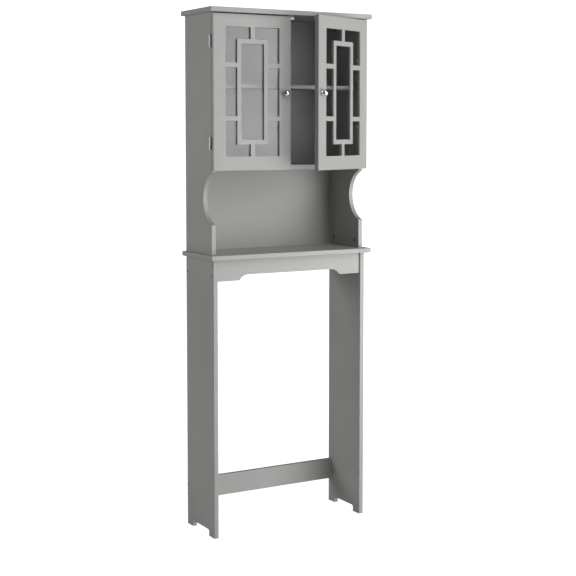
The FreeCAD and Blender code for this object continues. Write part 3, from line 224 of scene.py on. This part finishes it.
hinge_plating = plated_steel("brushed_hinge_plating", 0.72, 0.3, 500)
for side in ("left", "right"):
    for level in ("upper", "lower"):
        hinge = f"{side}_{level}_hinge"
        finish([f"{hinge}_frame_leaf", f"{hinge}_door_leaf", f"{hinge}_pin"], hinge_plating)
finish(["hinge_frame_screws", "left_hinge_door_screws", "right_hinge_door_screws"], zinc_plating)

# ---------------------------------------------------------------- door frames
# Each door is one fibreboard blank, routed through to leave its frame and the fretwork bars,
# with a seat cut in its back for the glass. It is sprayed with the boards' lacquer.

finish(["left_door_frame", "right_door_frame"], board_lacquer)

# ---------------------------------------------------------------- door glass
# Clear float glass, 3 mm thick and faintly green, with hardly visible smears from wiping and
# the very slight waviness that glass of this kind has.

GLASS_TINT = (0.93, 0.965, 0.96, 1)
GLASS_IOR = 1.5
SMEARS_PER_METRE = 12
SMEAR_ROUGHNESS = 0.04
WAVES_PER_METRE = 5


def float_glass():
    """Clear glass, smeared and waved."""
    glass = bpy.data.materials.new("float_glass")
    glass.use_nodes = True
    tree = glass.node_tree
    shader = tree.nodes["Principled BSDF"]
    shader.inputs["Base Color"].default_value = GLASS_TINT
    shader.inputs["IOR"].default_value = GLASS_IOR
    shader.inputs["Transmission Weight"].default_value = 1
    place = tree.nodes.new("ShaderNodeTexCoord")
    smears = tree.nodes.new("ShaderNodeTexNoise")
    smears.inputs["Scale"].default_value = SMEARS_PER_METRE
    smears.inputs["Detail"].default_value = 6
    smears.inputs["Distortion"].default_value = 0.8
    tree.links.new(place.outputs["Object"], smears.inputs["Vector"])
    wiped = tree.nodes.new("ShaderNodeMapRange")
    wiped.inputs["From Min"].default_value = 0.45
    wiped.inputs["From Max"].default_value = 0.75
    wiped.inputs["To Min"].default_value = 0
    wiped.inputs["To Max"].default_value = SMEAR_ROUGHNESS
    tree.links.new(smears.outputs["Fac"], wiped.inputs["Value"])
    tree.links.new(wiped.outputs["Result"], shader.inputs["Roughness"])
    waves = tree.nodes.new("ShaderNodeTexNoise")
    waves.inputs["Scale"].default_value = WAVES_PER_METRE
    tree.links.new(place.outputs["Object"], waves.inputs["Vector"])
    bump = tree.nodes.new("ShaderNodeBump")
    bump.inputs["Strength"].default_value = 0.02
    bump.inputs["Distance"].default_value = 0.001
    tree.links.new(waves.outputs["Fac"], bump.inputs["Height"])
    tree.links.new(bump.outputs["Normal"], shader.inputs["Normal"])
    return glass


finish(["left_door_glass", "right_door_glass"], float_glass())

# ---------------------------------------------------------------- glass clips
# Eight small moulded clips a door hold the glass in its seat, each with one zinc-plated screw.
# Their plastic is a milky white with the fine spark grain of the mould.

MILKY_WHITE = (0.7, 0.7, 0.68)
SPARKS_PER_METRE = 2200
FLOW_PER_METRE = 90


def grained_plastic(name, colour, roughness):
    """Moulded plastic with the mould's spark grain."""
    plastic = bpy.data.materials.new(name)
    plastic.use_nodes = True
    tree = plastic.node_tree
    shader = tree.nodes["Principled BSDF"]
    place = tree.nodes.new("ShaderNodeTexCoord")
    grain = tree.nodes.new("ShaderNodeTexVoronoi")
    grain.inputs["Scale"].default_value = SPARKS_PER_METRE
    tree.links.new(place.outputs["Object"], grain.inputs["Vector"])
    flow = tree.nodes.new("ShaderNodeTexNoise")
    flow.inputs["Scale"].default_value = FLOW_PER_METRE
    flow.inputs["Detail"].default_value = 3
    tree.links.new(place.outputs["Object"], flow.inputs["Vector"])
    tint = tree.nodes.new("ShaderNodeValToRGB")
    tint.color_ramp.elements[0].color = (*[0.95 * part for part in colour], 1)
    tint.color_ramp.elements[1].color = (*colour, 1)
    tree.links.new(flow.outputs["Fac"], tint.inputs["Fac"])
    tree.links.new(tint.outputs["Color"], shader.inputs["Base Color"])
    gloss = tree.nodes.new("ShaderNodeMapRange")
    gloss.inputs["To Min"].default_value = roughness - 0.06
    gloss.inputs["To Max"].default_value = roughness + 0.06
    tree.links.new(flow.outputs["Fac"], gloss.inputs["Value"])
    tree.links.new(gloss.outputs["Result"], shader.inputs["Roughness"])
    bump = tree.nodes.new("ShaderNodeBump")
    bump.inputs["Strength"].default_value = 0.15
    bump.inputs["Distance"].default_value = 0.0001
    tree.links.new(grain.outputs["Distance"], bump.inputs["Height"])
    tree.links.new(bump.outputs["Normal"], shader.inputs["Normal"])
    return plastic


milky_plastic = grained_plastic("milky_plastic", MILKY_WHITE, 0.4)
finish(["left_glass_clips", "right_glass_clips"], milky_plastic)
finish(["left_clip_screws", "right_clip_screws"], zinc_plating)

# ---------------------------------------------------------------- knobs
# Turned metal knobs with a foot, a short neck and a domed head, chrome plated and polished.
# One screw through the door's stile holds each.

finish(["left_knob", "right_knob"], plated_steel("polished_chrome", 0.82, 0.05, 300))
finish(["left_knob_screw", "right_knob_screw"], zinc_plating)

# ---------------------------------------------------------------- strike plates and magnetic catch
# A light grey plastic case under the top board holds two magnets behind nickel-plated faces.
# Each door has a small steel plate that meets one of them, held by a countersunk screw.

CASE_GREY = (0.55, 0.55, 0.54)

finish(["left_strike_plate", "right_strike_plate"], hinge_plating)
finish(["left_strike_screw", "right_strike_screw", "catch_screws"], zinc_plating)
finish(["catch_body"], grained_plastic("catch_case_plastic", CASE_GREY, 0.5))
finish(["catch_magnets"], plated_steel("magnet_faces", 0.5, 0.35, 700))

# ---------------------------------------------------------------- studio floor
# A plain white floor without a seam. It glows for the camera only, and this glow is painted:
# dimmer around the rack as painted shade, and brighter further off, where it runs into the
# white room behind it. It lies a hair under the feet.

FLOOR_SIZE = 60
FLOOR_DROP = 0.0002
FLOOR_WHITE = (0.85, 0.85, 0.85, 1)
NEAR_RADIUS = 0.6
FAR_RADIUS = 2.2
PAINTED_SHADE_GLOW = 0.84
FAR_GLOW = 1.2

bpy.ops.mesh.primitive_plane_add(size=FLOOR_SIZE, location=(0, 0, -FLOOR_DROP))
floor = bpy.context.object
floor.name = "studio_floor"
white = bpy.data.materials.new("white_floor")
white.use_nodes = True
tree = white.node_tree
shader = tree.nodes["Principled BSDF"]
shader.inputs["Base Color"].default_value = FLOOR_WHITE
shader.inputs["Roughness"].default_value = 0.9
shader.inputs["Specular IOR Level"].default_value = 0.1
shader.inputs["Emission Color"].default_value = (1, 1, 1, 1)
place = tree.nodes.new("ShaderNodeTexCoord")
away = tree.nodes.new("ShaderNodeVectorMath")
away.operation = "LENGTH"
tree.links.new(place.outputs["Object"], away.inputs[0])
# painted shade: the camera-only glow ramps from dim near the rack to bright further off
paling = tree.nodes.new("ShaderNodeMapRange")
paling.inputs["From Min"].default_value = NEAR_RADIUS
paling.inputs["From Max"].default_value = FAR_RADIUS
paling.inputs["To Min"].default_value = PAINTED_SHADE_GLOW
paling.inputs["To Max"].default_value = FAR_GLOW
tree.links.new(away.outputs["Value"], paling.inputs["Value"])
path = tree.nodes.new("ShaderNodeLightPath")
glow = tree.nodes.new("ShaderNodeMath")
glow.operation = "MULTIPLY"
tree.links.new(paling.outputs["Result"], glow.inputs[0])
tree.links.new(path.outputs["Is Camera Ray"], glow.inputs[1])
tree.links.new(glow.outputs["Value"], shader.inputs["Emission Strength"])
floor.data.materials.append(white)

# ---------------------------------------------------------------- studio light
# A white room that shows white but gives only a weak fill, and large soft boxes: the main one
# in front on the right, so the left sides of the boards stay a tone darker than the fronts.

ROOM_WHITE = (1, 1, 1, 1)
ROOM_SEEN = 1.2
ROOM_FELT = 0.06

room = bpy.data.worlds.new("white_room")
bpy.context.scene.world = room
room.use_nodes = True
tree = room.node_tree
tree.nodes.clear()
path = tree.nodes.new("ShaderNodeLightPath")
seen = tree.nodes.new("ShaderNodeBackground")
seen.inputs["Color"].default_value = ROOM_WHITE
seen.inputs["Strength"].default_value = ROOM_SEEN
felt = tree.nodes.new("ShaderNodeBackground")
felt.inputs["Color"].default_value = ROOM_WHITE
felt.inputs["Strength"].default_value = ROOM_FELT
mix = tree.nodes.new("ShaderNodeMixShader")
out = tree.nodes.new("ShaderNodeOutputWorld")
tree.links.new(path.outputs["Is Camera Ray"], mix.inputs["Fac"])
tree.links.new(felt.outputs["Background"], mix.inputs[1])
tree.links.new(seen.outputs["Background"], mix.inputs[2])
tree.links.new(mix.outputs["Shader"], out.inputs["Surface"])


def soft_box(name, place, target, size, radiance):
    """A square lamp that faces the target. Its power follows from its size and its radiance."""
    light = bpy.data.lights.new(name, "AREA")
    light.shape = "SQUARE"
    light.size = size
    light.energy = radiance * math.pi * size * size
    holder = bpy.data.objects.new(name, light)
    bpy.context.scene.collection.objects.link(holder)
    holder.visible_camera = False
    holder.location = place
    holder.rotation_euler = (Vector(target) - Vector(place)).to_track_quat("-Z", "Y").to_euler()


soft_box("key_box", (1.55, -2.25, 1.07), (0, 0, 1.05), 2.4, 3.2)
soft_box("low_box", (1.6, -1.8, 0.5), (0.1, 0, 0.8), 1.2, 2.6)
soft_box("overhead_box", (0.3, -2.4, 3.2), (0, 0, 1.1), 1.6, 3.7)
soft_box("left_rear_box", (-2.6, 1.6, 1.5), (0, 0, 1.1), 1.6, 4.0)

bpy.context.scene.view_settings.view_transform = "Standard"

# ---------------------------------------------------------------- camera
# A camera at the height of the upper cabinet, in front of the rack and to its left. It looks
# slightly down, and its lens is dropped a little, so that the uprights stay nearly parallel.

eye = bpy.data.cameras.new("eye")
eye.sensor_width = 36
eye.lens = 80.59
eye.shift_y = -0.1
camera = bpy.data.objects.new("eye", eye)
bpy.context.scene.collection.objects.link(camera)
camera.location = (-2.1097, -3.6825, 1.3123)
camera.rotation_euler = (1.4939, -0.0001, -0.522)
bpy.context.scene.camera = camera
